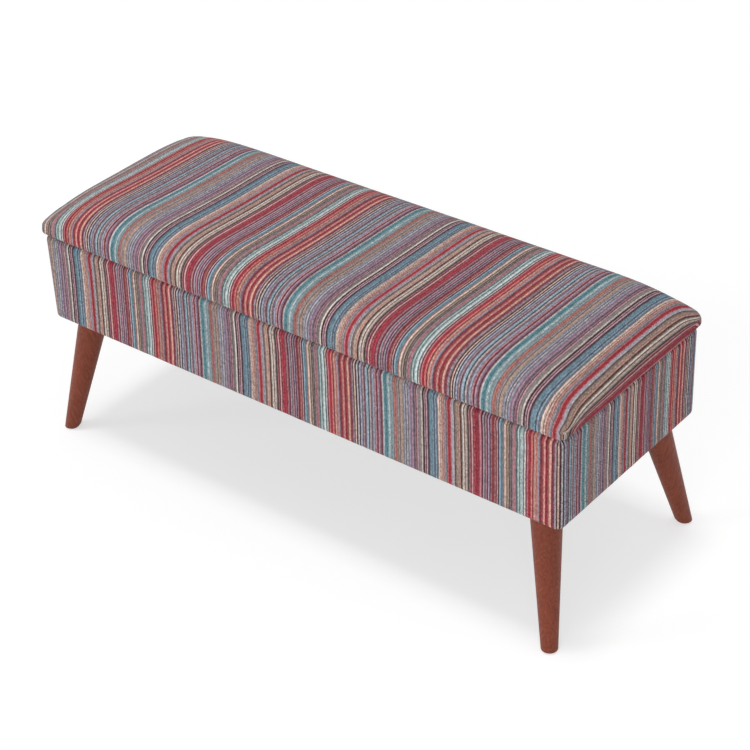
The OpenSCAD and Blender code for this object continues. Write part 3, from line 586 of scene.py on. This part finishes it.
def buildLid():
    halfX, halfY = lidHigh.x / mm, lidHigh.y / mm
    top, under = lidHigh.z / mm, lidLow.z / mm
    waist = seamTop / mm + lid["waist"]
    rise = top - waist
    endRun, frontRun, cornerRun = lid["endRoll"], lid["frontRoll"], halfY - lid["endLevel"] / 2
    # the dome: a grid whose border is the waist
    gridX, gridY = np.meshgrid(domeSteps(halfX, endRun, lid["flatCells"], lid["rollCells"]),
                               domeSteps(halfY, frontRun, lid["acrossCells"], lid["frontCells"]),
                               indexing="ij")
    faces, border = gridFaces(*gridX.shape)
    gridX, gridY = gridX.ravel(), gridY.ravel()
    ends = domeRise(gridX, halfX, endRun, lid["fullness"])
    z = waist + rise * ends * domeRise(
        gridY, halfY, cornerRun + (frontRun - cornerRun) * ends,
        lid["endFullness"] + (lid["fullness"] - lid["endFullness"]) * ends)
    x, y = bendCorners(gridX, gridY, halfX, halfY, lid["corner"])
    loopU, loopV = gridX[border] / halfX, gridY[border] / halfY
    rows, first, count = lidRows(waist, under), len(x), len(border)
    points, depth = [places(x, y, z)], [np.zeros(first)]
    for inset, height, below in rows:
        points.append(ringPoints(loopU, loopV, halfX - inset, halfY - inset, max(lid["corner"] - inset, 1),
                                 height))
        depth.append(np.full(count, float(below)))
    faces += skirtFaces(border, [first + k * count for k in range(len(rows))])
    points, depth = np.concatenate(points), np.concatenate(depth)
    x, y, z = points.T

    # where each point lies on the flat cloth
    endSide = smoothStep((np.abs(x) - halfX) - (np.abs(y) - halfY), -6, 6) * (depth > 0)
    edgeX = np.tile(loopU * halfX, len(rows))
    edgeX = x[first:] + (edgeX - x[first:]) * endSide[first:]
    stripe = domeArc(np.append(gridX, edgeX), halfX, endRun, rise)
    run = domeArc(np.append(gridY, np.tile(loopV * halfY, len(rows))), halfY, frontRun, rise)
    fromCorner = np.clip(halfY - np.abs(y), 0, None)
    stripe = stripe + np.sign(x) * depth * endSide * smoothStep(fromCorner, 0, lid["cornerPull"])
    # the cloth runs tighter to the right, and aslant on the left
    (offset, tighter), (aslant, fading, slantEnd) = lid["offset"], lid["slant"]
    stripe = stripe - (offset - tighter * x) - (aslant - fading * x) * smoothStep(y, -halfY, slantEnd)
    (tight, tightFrom), (gather, spread) = lid["endTight"], lid["cornerGather"]
    stripe = stripe + np.sign(x) * tight * smoothStep(np.abs(x), halfX - tightFrom, halfX)
    gathered = np.exp(-(fromCorner / spread) ** 2) * band(np.abs(x), halfX, lid["gatherBand"])
    stripe = stripe - np.sign(x) * gather * gathered
    run = run + np.sign(y) * depth * (1 - endSide)
    stripe = stripe + softNoise(places(x, y), lid["wander"])

    piece = makePiece("lidCover", points * mm, faces)
    storeValues(piece, "stripe", stripe - cloth["lidStart"])
    storeValues(piece, "run", run)
    held = smoothStep(depth, *lid["held"])
    swellCover(piece, points, 1 - held, np.maximum(held, lid["grip"]), lid)

    # small puckers where the cloth is pulled under the edge, and a pleat at each corner
    points, normals = readPoints(piece), readNormals(piece)
    x, y, z = (points / mm).T
    edge = band(z, waist, lid["puckerBand"]) * band(z, under, (0.2, 3))
    ripple = softNoise(places(x, y, z * 0.25), lid["puckers"])
    cornerX, cornerY = np.abs(x) - (halfX - 4), np.abs(y) - (halfY - 4)
    deep, wide = lid["pleat"]
    fold = np.exp(-((cornerX - cornerY) / wide) ** 2) * smoothStep(cornerX + cornerY, -26, -6)
    push = lid["puckerDepth"] * ripple * edge \
        - deep * fold * band(z, waist, lid["pleatBand"]) * band(z, under, (0, 3))
    broad = softNoise(places(x, y), lid["unevenness"]) * band(z, waist, (0, 20))
    bulge, bulgeFrom = lid["endFull"]
    full = bulge * smoothStep(np.abs(x), halfX - bulgeFrom, halfX) * band(z, under, (1, 10))
    writePoints(piece, points + normals * ((push + broad + full) * mm)[:, None])
    fillHoles(piece)
    finishPiece(piece, stripedCloth, "lid", ["lid_cover", "lid_foam"])
    print("stage: lid cover,", len(piece.data.vertices), "points")


buildLid()


box = {
    "along": 156,  # cells along the front and the back
    "over": 60,  # and along the ends
    "wallRows": 24,
    "corner": 14,
    "rim": 10,  # radius of the rim's outer edge
    "lower": 6,  # and of the lower edge
    "under": (45, 38, 30, 22, 14, 9),  # mm inset of the rows under the box, from the hem out
    "layers": 7.2,  # cloth and wadding on the outside of the frame
    "boardThick": 15,
    "clothThick": 1.2,
    "turn": 22,  # mm of cloth turned down inside the rim
    "start": 1.0,  # mm, as on the lid
    # mm over which the cloth comes free of its foot, its rim and its corners
    "freeFoot": (0, 22), "freeRim": (-4, -24), "freeCorner": (4, 26),
    "frames": 20, "limit": 1.8,
    "cloth": {"quality": 5, "mass": 0.3, "tension_stiffness": 40, "compression_stiffness": 40,
              "shear_stiffness": 15, "bending_stiffness": 2.0, "uniform_pressure_force": 3},
    # how the striped cloth lies, in mm
    # off square at the front's left end, middle and right end, driftTurn further round, and at the back
    "drift": (14, 8, 1, -2, -36), "driftTurn": 130,
    "wander": ((0.9, 70, 11),),  # as on the lid
    "rimWander": ((0.5, 34, 12), (0.2, 15, 13)),  # and more of it near the rim
    "rimBand": (-45, 0),
    # small forms of the cloth, in mm
    "pucker": 0.9,  # depth of the puckers under the rim
    "puckers": ((0.6, 21, 21), (0.4, 9, 22)),
    "puckerBand": (-30, -9),  # from the rim, where they start and are full
    "footPuckers": ((0.25, 13, 23),),
    "footBand": (16, 3),  # from the foot, the same
}


def boxProfile(low, top):
    # inset and height of the rows, from the hem under the box round to the cloth's hidden side
    inner = box["layers"] + box["boardThick"]
    face = inner + box["clothThick"]
    rows = [(inset, low) for inset in box["under"]]
    for angle in quarterTurn(4):
        rows.append((box["lower"] * (1 - math.sin(angle)), low + box["lower"] * (1 - math.cos(angle))))
    wallFirst = len(rows) - 1
    wallLow, wallHigh = low + box["lower"], top - box["rim"]
    for i in range(1, box["wallRows"]):
        rows.append((0, wallLow + (wallHigh - wallLow) * i / box["wallRows"]))
    wallLast = len(rows) + 3  # the wall takes in half the round of the rim
    for angle in quarterTurn(6):
        rows.append((box["rim"] * (1 - math.cos(angle)), wallHigh + box["rim"] * math.sin(angle)))
    # over the rim, down inside it and round the cut edge
    end = top - box["turn"]
    rows += [(14, top), (18, top), (face - 1.4, top), (face - 0.4, top - 0.4), (face, top - 1.4),
             (face, top - 7), (face, top - 14), (face, end + 0.8), (face - 0.5, end + 0.1),
             (inner + 0.05, end + 0.6)]
    # the hidden side, against the boards
    rows += [(inner, top - 3), (box["layers"], top - 3), (box["layers"], low + 1.4),
             (box["under"][0], low + 1)]
    return rows, wallFirst, wallLast


def buildBox():
    halfX, halfY = boxHigh.x / mm, boxHigh.y / mm
    low, top = boxLow.z / mm, boxHigh.z / mm
    profile, wallFirst, wallLast = boxProfile(low, top)
    u, v = sideSteps(box["along"]), sideSteps(box["over"])
    # the cloth is joined at the back left corner, so the loop starts and ends there
    loopU, loopV = (np.roll(side, -(2 * len(u) + len(v) - 3)) for side in loopSteps(u, v))
    loopU, loopV = np.append(loopU, loopU[0]), np.append(loopV, loopV[0])
    count, rows = len(loopU), len(profile)
    points = np.concatenate([
        ringPoints(loopU, loopV, halfX - inset, halfY - inset, max(box["corner"] - inset, 0.8), z)
        for inset, z in profile])
    starts = [k * count for k in range(rows)]
    faces = ringFaces(starts + [0], count, closed=False)
    faces += [starts, [k + count - 1 for k in reversed(starts)]]

    # where each point lies on the flat cloth, from the middle of the front
    outer = ringPoints(loopU, loopV, halfX, halfY, box["corner"], 0)[:, :2]
    around = np.concatenate([[0], np.cumsum(np.linalg.norm(np.diff(outer, axis=0), axis=1))])
    front = outer[:, 1] < 1 - halfY
    around = around - np.interp(0, outer[front, 0], around[front])
    down = np.cumsum([0] + [math.dist(a, b) for a, b in zip(profile[:-1], profile[1:])])
    stripe = np.tile(around, rows)
    # where the cloth turns in under the box or over its rim, the stripes keep straight on
    for axis, side, sign in ((0, loopV, -1), (0, loopV, 1), (1, loopU, -1), (1, loopU, 1)):
        onSide = np.nonzero((side == sign) & (np.abs((loopU, loopV)[axis]) < 1))[0]
        order = onSide[np.argsort(outer[onSide, axis])]
        for start in starts:
            row = start + onSide
            stripe[row] = np.interp(points[row, axis], outer[order, axis], around[order])
    height = points[:, 2]
    place = places(stripe, height)
    nearRim = band(height, top, box["rimBand"])
    # the cloth runs a little tighter round the box, most of all at its end
    stripe = stripe - np.interp(
        stripe, [-halfX, 0, halfX, halfX + box["driftTurn"], halfX + 2 * halfY], box["drift"])
    leaning = np.clip((height - (low + top) / 2) / (top - low), -0.5, 0.5) * smoothStep(
        np.tile(around, rows), halfX, -halfX)
    stripe = stripe - cloth["lean"] * leaning
    stripe = stripe + softNoise(place, box["wander"]) + nearRim * softNoise(place, box["rimWander"])

    piece = makePiece("boxCover", points * mm, faces)
    storeValues(piece, "stripe", stripe - cloth["boxStart"])
    storeValues(piece, "run", np.repeat(down, count))
    storeValues(piece, "around", np.tile(around, rows))
    ends = set(starts) | {k + count - 1 for k in starts}
    storeValues(piece, "crease_edge", [
        1.0 if e.vertices[0] in ends and e.vertices[1] in ends else 0.0 for e in piece.data.edges], "EDGE")
    row = np.repeat(np.arange(rows), count)
    free = band(height, low, box["freeFoot"]) * band(height, top, box["freeRim"])
    free = np.where((row >= wallFirst) & (row <= wallLast), free, 0)
    corner = np.minimum(halfX - np.abs(points[:, 0]), 60) ** 2 + np.minimum(
        halfY - np.abs(points[:, 1]), 60) ** 2
    free = free * smoothStep(np.sqrt(corner), *box["freeCorner"])
    free[list(ends)] = 0
    swellCover(piece, points, free, 1 - free, box)

    # small puckers under the rim and over the foot
    points, normals = readPoints(piece), readNormals(piece)
    around = readValues(piece.data.attributes["around"].data, "value")
    x, y, z = (points / mm).T
    inner = box["layers"] + box["boardThick"] - 1
    outside = ~((np.abs(x) < halfX - inner) & (np.abs(y) < halfY - inner))
    place = places(around, z * 0.3)
    ripple = softNoise(place, box["puckers"]) - 0.25
    rim = band(z, top, box["puckerBand"]) * band(z, top, (0.4, -4)) * outside
    foot = band(z, low, box["footBand"]) * band(z, low, (-0.2, 1.5)) * outside
    push = box["pucker"] * ripple * rim + softNoise(place, box["footPuckers"]) * foot
    writePoints(piece, points + normals * (push * mm)[:, None])
    finishPiece(piece, stripedCloth, "box", ["box_cover", "box_wadding"])
    print("stage: box cover,", len(piece.data.vertices), "points")


buildBox()


def makePlainCloth(name, dark, pale, pitch, roughness):
    # spun-bonded or plain-woven backing cloth: matt, nearly black, with a small regular emboss
    material, add, shader = newMaterial(name, {
        "Roughness": roughness, "Sheen Weight": 0.12, "Sheen Roughness": 0.5, "IOR": 1.48,
        "Specular IOR Level": 0.2})
    place = add("TexCoord").outputs["Object"]
    weave = add("TexVoronoi", {"Vector": place, "Scale": 1 / (pitch * mm), "Randomness": 0.35})
    cloud = add("TexNoise", {"Vector": place, "Scale": 14.0, "Detail": 5.0})
    fibre = add("TexNoise", {"Vector": place, "Scale": 420.0, "Detail": 2.0})
    both = add("Math", {0: cloud, 1: fibre}, "MULTIPLY")
    ramp = fillRamp(add("ValToRGB", {0: both}), [(0.12, dark), (0.42, pale)])
    closeMaterial(add, shader, {"Base Color": ramp}, weave.outputs["Distance"], 0.5, 0.3)
    return material


liningCloth = makePlainCloth("plain-woven polycotton lining", "#1d1c1f", "#3b393d", 2.4, 0.8)
backingCloth = makePlainCloth("spun-bonded polypropylene", "#161617", "#2c2c2e", 3.0, 0.7)

lining = {
    "thick": 1.0,
    "play": 0.1,  # mm, taken off twice at the walls and once at the floor
    "floorRound": 6,
    "corner": 3,
    "wallRows": 16,
    "along": 110,
    "over": 40,
    "hem": 10,  # mm of the stitched hem at its top
    "hemProud": 0.1,  # mm that it stands off the wall
    "wave": (0.9, 40),  # mm that the floor's waves rise, and over how far they die out to the walls
    "waves": ((0.5, 90, 31),),
}
backing = {
    "along": 90,
    "over": 34,
    "thick": 0.6,
    "play": 0.2,  # mm left to the node's own box all round
    "waves": ((0.5, 75, 41),),
    "fine": ((0.12, 14, 42),),
    "edge": (8, 60),  # mm from the folded edge, where the waves start and are full
}


def clothGrid(form, gather, halfX, halfY):
    # steps, places, quads and border of a level cloth
    u, v = sideSteps(form["along"], gather), sideSteps(form["over"], gather)
    gridU, gridV = np.meshgrid(u, v, indexing="ij")
    return u, v, gridU.ravel() * halfX, gridV.ravel() * halfY, *gridFaces(len(u), len(v))


def thickenCloth(piece, thick):
    shell = piece.modifiers.new("thick", "SOLIDIFY")
    shell.thickness = thick * mm
    shell.offset = -1
    applyModifiers(piece)


def buildLining():
    low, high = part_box("storage_lining")
    halfX, halfY, floor, top = high.x / mm, high.y / mm, low.z / mm, high.z / mm
    thick = lining["thick"] + lining["play"]
    clearX, clearY = halfX - thick - lining["play"], halfY - thick - lining["play"]
    bend, base = lining["floorRound"], floor + thick
    flatX, flatY = clearX - bend, clearY - bend
    u, v, x, y, faces, border = clothGrid(lining, 0.4, flatX, flatY)
    depth, fade = lining["wave"]
    wave = 0.5 + softNoise(places(x, y), lining["waves"])
    z = base + depth * wave * smoothStep(flatX - np.abs(x), 0, fade) \
        * smoothStep(flatY - np.abs(y), 0, fade)
    loopU, loopV = loopSteps(u, v)
    rows = [(bend * (1 - math.sin(angle)), base + bend * (1 - math.cos(angle)))
            for angle in quarterTurn(4)[1:]]
    for i in range(1, lining["wallRows"] + 1):
        rows.append((0, base + bend + (top - base - bend) * i / lining["wallRows"]))
    points = [places(x, y, z)]
    for inset, height in rows:
        points.append(ringPoints(loopU, loopV, clearX - inset, clearY - inset, lining["corner"], height))
    starts = [len(x) + k * len(border) for k in range(len(rows))]
    faces += [face[::-1] for face in skirtFaces(border, starts)]
    piece = makePiece("storageLining", np.concatenate(points) * mm, faces)
    # the stitched hem stands a little proud of the wall
    points = readPoints(piece)
    hemStart = top - lining["hem"]
    hem = smoothStep(points[:, 2] / mm, hemStart - 0.5, hemStart + 0.5) * lining["hemProud"] * mm
    for axis, clear in ((0, clearX), (1, clearY)):
        onWall = np.abs(points[:, axis]) > (clear - 0.5) * mm
        points[:, axis] -= np.where(onWall, np.sign(points[:, axis]), 0) * hem
    writePoints(piece, points)
    thickenCloth(piece, lining["thick"])
    finishPiece(piece, liningCloth, "box", ["storage_lining"])


def buildFlatCloth(name, node, body, sag):
    # a flat cloth with a folded edge; sag is the depth in mm of its soft waves
    low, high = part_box(node)
    halfX, halfY = high.x / mm - backing["play"], high.y / mm - backing["play"]
    _, _, x, y, faces, _ = clothGrid(backing, 0.2, halfX, halfY)
    inside = np.minimum(halfX - np.abs(x), halfY - np.abs(y))
    wave = 0.5 + softNoise(places(x, y), backing["waves"])
    fine = softNoise(places(x, y), backing["fine"])
    z = low.z / mm + 0.05 + (sag * wave + fine + 0.12) * smoothStep(inside, *backing["edge"])
    piece = makePiece(name, places(x, y, z) * mm, [face[::-1] for face in faces])
    thickenCloth(piece, backing["thick"])
    finishPiece(piece, backingCloth, body, [node])


buildLining()
buildFlatCloth("dustCloth", "dust_cloth", "box", 0.3)
buildFlatCloth("lidCloth", "lid_cloth", "lid", 0.1)
print("stage: plain cloths")


legs = {
    "dark": "#662a1b",
    "base": "#7e3a25",
    "pale": "#90482b",
    "grain": 2.4,  # mm between grain lines round the leg
    "stretch": 16,  # how much longer than wide the grain is
    "roughness": 0.5,
    "lacquer": 0.12,
    "topRadius": 27,
    "footRadius": 14,
}


def makeStainedBeech(name, tilt):
    # red-brown stained beech under satin lacquer: fine darker flecks along the leg and a soft highlight
    material, add, shader = newMaterial(name, {
        "IOR": 1.5, "Coat Weight": legs["lacquer"], "Coat Roughness": 0.3, "Specular IOR Level": 0.25})
    place = add("TexCoord").outputs["Object"]
    upright = add("VectorRotate", {"Vector": place, "Rotation": tilt}, rotation_type="EULER_XYZ")
    squeeze = add("Mapping", {"Vector": upright, "Scale": (1, 1, 1 / legs["stretch"])})
    flow = add("TexNoise", {"Vector": squeeze, "Scale": 1000 / legs["grain"], "Detail": 4.0,
                            "Roughness": 0.6})
    fleck = add("TexNoise", {"Vector": squeeze, "Scale": 900.0, "Detail": 2.0})
    cloud = add("TexNoise", {"Vector": place, "Scale": 22.0, "Detail": 2.0})
    ramp = fillRamp(add("ValToRGB", {0: flow}),
                    [(0.25, legs["dark"]), (0.5, legs["base"]), (0.75, legs["pale"])])
    dark = add("MapRange", {0: fleck, 1: 0.56, 2: 0.7, 3: 1.0, 4: 0.78})
    soft = add("MapRange", {0: cloud, 1: 0.3, 2: 0.7, 3: 0.92, 4: 1.06})
    both = add("Math", {0: dark, 1: soft}, "MULTIPLY")
    rough = add("MapRange", {0: flow, 1: 0.3, 2: 0.7, 3: legs["roughness"] + 0.1, 4: legs["roughness"]})
    closeMaterial(add, shader, {"Base Color": shadeColour(add, ramp, both), "Roughness": rough}, flow,
                  0.12, 0.2)
    return material


def makeSteel(name, colour, roughness, streak):
    # bright-plated steel: cool, mirror-like but softened by fine drawn streaks
    material, add, shader = newMaterial(name, {"Metallic": 1.0})
    place = add("TexCoord").outputs["Object"]
    drawn = add("Mapping", {"Vector": place, "Scale": streak})
    lines = add("TexNoise", {"Vector": drawn, "Scale": 1.0, "Detail": 4.0})
    tone = add("TexNoise", {"Vector": place, "Scale": 90.0, "Detail": 2.0})
    base = linearColour(colour)
    ramp = fillRamp(add("ValToRGB", {0: tone}), [(0.3, [c * 0.86 for c in base[:3]] + [1]), (0.7, base)])
    rough = add("MapRange", {0: lines, 1: 0.3, 2: 0.7, 3: roughness - 0.03, 4: roughness + 0.05})
    closeMaterial(add, shader, {"Base Color": ramp, "Roughness": rough}, lines, 0.03, 0.02)
    return material


def makePlywood(name, dark, pale):
    # birch plywood: pale, matt and lightly flamed along its length
    material, add, shader = newMaterial(name, {"IOR": 1.5, "Specular IOR Level": 0.3})
    place = add("TexCoord").outputs["Object"]
    squeeze = add("Mapping", {"Vector": place, "Scale": (4, 60, 60)})
    flow = add("TexNoise", {"Vector": squeeze, "Scale": 1.0, "Detail": 5.0, "Distortion": 0.8})
    rough = add("MapRange", {0: flow, 3: 0.75, 4: 0.6})
    ramp = fillRamp(add("ValToRGB", {0: flow}), [(0.3, dark), (0.7, pale)])
    closeMaterial(add, shader, {"Base Color": ramp, "Roughness": rough}, flow, 0.15, 0.2)
    return material


def makeNylon(name, dark, pale):
    # moulded nylon: dark, slightly waxy, with a fine moulded grain
    material, add, shader = newMaterial(name, {"IOR": 1.53, "Specular IOR Level": 0.45})
    place = add("TexCoord").outputs["Object"]
    grain = add("TexNoise", {"Vector": place, "Scale": 1500.0, "Detail": 2.0})
    rough = add("MapRange", {0: grain, 3: 0.4, 4: 0.55})
    ramp = fillRamp(add("ValToRGB", {0: grain}), [(0.35, dark), (0.65, pale)])
    closeMaterial(add, shader, {"Base Color": ramp, "Roughness": rough}, grain, 0.15, 0.05)
    return material


def legTilt(name):
    # turns the leg's own line upright, from how far its foot stands out
    low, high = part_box(name)
    ends = (legs["topRadius"] * mm, legs["footRadius"] * mm)
    lean = [(b - a) - ends[0] - ends[1] for a, b in ((low.x, high.x), (low.y, high.y))]
    sideX, sideY = (1 if low.x + high.x > 0 else -1), (1 if low.y + high.y > 0 else -1)
    height = high.z - low.z
    return (sideY * math.atan2(lean[1], height), -sideX * math.atan2(lean[0], height), 0)


# each finish with the words that the names of its nodes hold
finishes = []
for place in ("front left", "front right", "back left", "back right"):
    name = "leg_" + place.replace(" ", "_")
    finishes.append((makeStainedBeech("stained lacquered beech " + place, legTilt(name)), (name,)))
finishes += [
    (makeSteel("nickel-plated steel", "#c9c8c4", 0.26, (700, 90, 700)),
     ("leaves", "pins", "brackets", "_arm_")),
    (makeSteel("zinc-plated steel", "#bfc3c6", 0.34, (300, 300, 80)), ("bolts", "nuts", "rivet")),
    (makeSteel("zinc-plated screw steel", "#c6c4bc", 0.3, (400, 400, 400)), ("screws",)),
    (makePlywood("birch plywood", "#b58f5f", "#d9bd90"), ("panel", "board")),
    (makeNylon("black nylon", "#1b1a1a", "#2a2827"), ("glides",)),
]
for name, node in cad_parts.items():
    for material, words in finishes:
        if any(word in name for word in words):
            for k in range(len(node.data.materials)):
                node.data.materials[k] = material
print("stage: finishes")


studio = {
    "floorHalf": 9.0,
    "floor": "#f4f4f4",
    "floorSeen": "#bcbcbc",  # the paper as the camera alone sees it
    "floorLift": 0.578,  # light that the camera alone sees in it, which keeps its shadow pale
    "sky": 0.39,
    "aim": (0, 0, 0.3),  # where the lamps point
    "key": (-0.25, -0.08, 4.5), "keyPower": 1.17, "keySpread": 13,  # an even light from above
    "side": (2.4, -3.9, 2.2), "sidePower": 53, "sideSize": 3.0,
    "left": (-3.1, -3.0, 1.5), "leftPower": 0.8, "leftSpread": 20,  # low, it rounds the legs
}


def seenDirectly(add):
    # 1 for what the camera sees itself, in a mirror or through glass
    path = add("LightPath")
    one = add("Math", {0: path.outputs["Is Camera Ray"], 1: path.outputs["Is Glossy Ray"]}, "MAXIMUM")
    return add("Math", {0: one, 1: path.outputs["Is Transmission Ray"]}, "MAXIMUM")


def makePaper():
    # pale studio paper: matt, and white to the camera but for a soft shadow
    material = bpy.data.materials.new("pale studio paper")
    add = nodeAdder(material)
    direct = seenDirectly(add)
    shown = add("Mix", {0: direct, 6: linearColour(studio["floor"]),
                        7: linearColour(studio["floorSeen"])}, data_type="RGBA").outputs[2]
    paper = add("BsdfDiffuse", {"Color": shown})
    amount = add("Math", {0: direct, 1: studio["floorLift"]}, "MULTIPLY")
    lift = add("Emission", {"Strength": amount})
    total = add("AddShader", {0: paper, 1: lift})
    # from below the camera looks through it
    back, camera = add("NewGeometry").outputs["Backfacing"], add("LightPath").outputs["Is Camera Ray"]
    behind = add("Math", {0: back, 1: camera}, "MULTIPLY")
    seen = add("MixShader", {0: behind, 1: total, 2: add("BsdfTransparent")})
    add("OutputMaterial", {"Surface": seen})
    return material


def buildStudio():
    steps = np.linspace(-studio["floorHalf"], studio["floorHalf"], 5)
    floor = makePiece("studioFloor", [(x, y, 0) for x in steps for y in steps],
                      gridFaces(len(steps), len(steps))[0])
    floor.data.materials.append(makePaper())

    scene.world = bpy.data.worlds.new("studio")
    add = nodeAdder(scene.world)
    level = add("MapRange", {0: seenDirectly(add), 3: studio["sky"], 4: 1.0})
    glow = add("Background", {"Color": (1, 1, 1, 1), "Strength": level})
    add("OutputWorld", {"Surface": glow})

    for name, kind in (("key", "SUN"), ("side", "AREA"), ("left", "SUN")):
        lamp = bpy.data.lights.new(name, kind)
        lamp.energy = studio[name + "Power"]
        if kind == "SUN":
            lamp.angle = math.radians(studio[name + "Spread"])
        else:
            lamp.size = studio[name + "Size"]
        holder = bpy.data.objects.new(name, lamp)
        holder.location = studio[name]
        aim = Vector(studio["aim"]) - holder.location
        holder.rotation_euler = aim.to_track_quat("-Z", "Y").to_euler()
        scene.collection.objects.link(holder)


buildStudio()
scene.view_settings.view_transform = "Standard"
print("stage: floor and light")
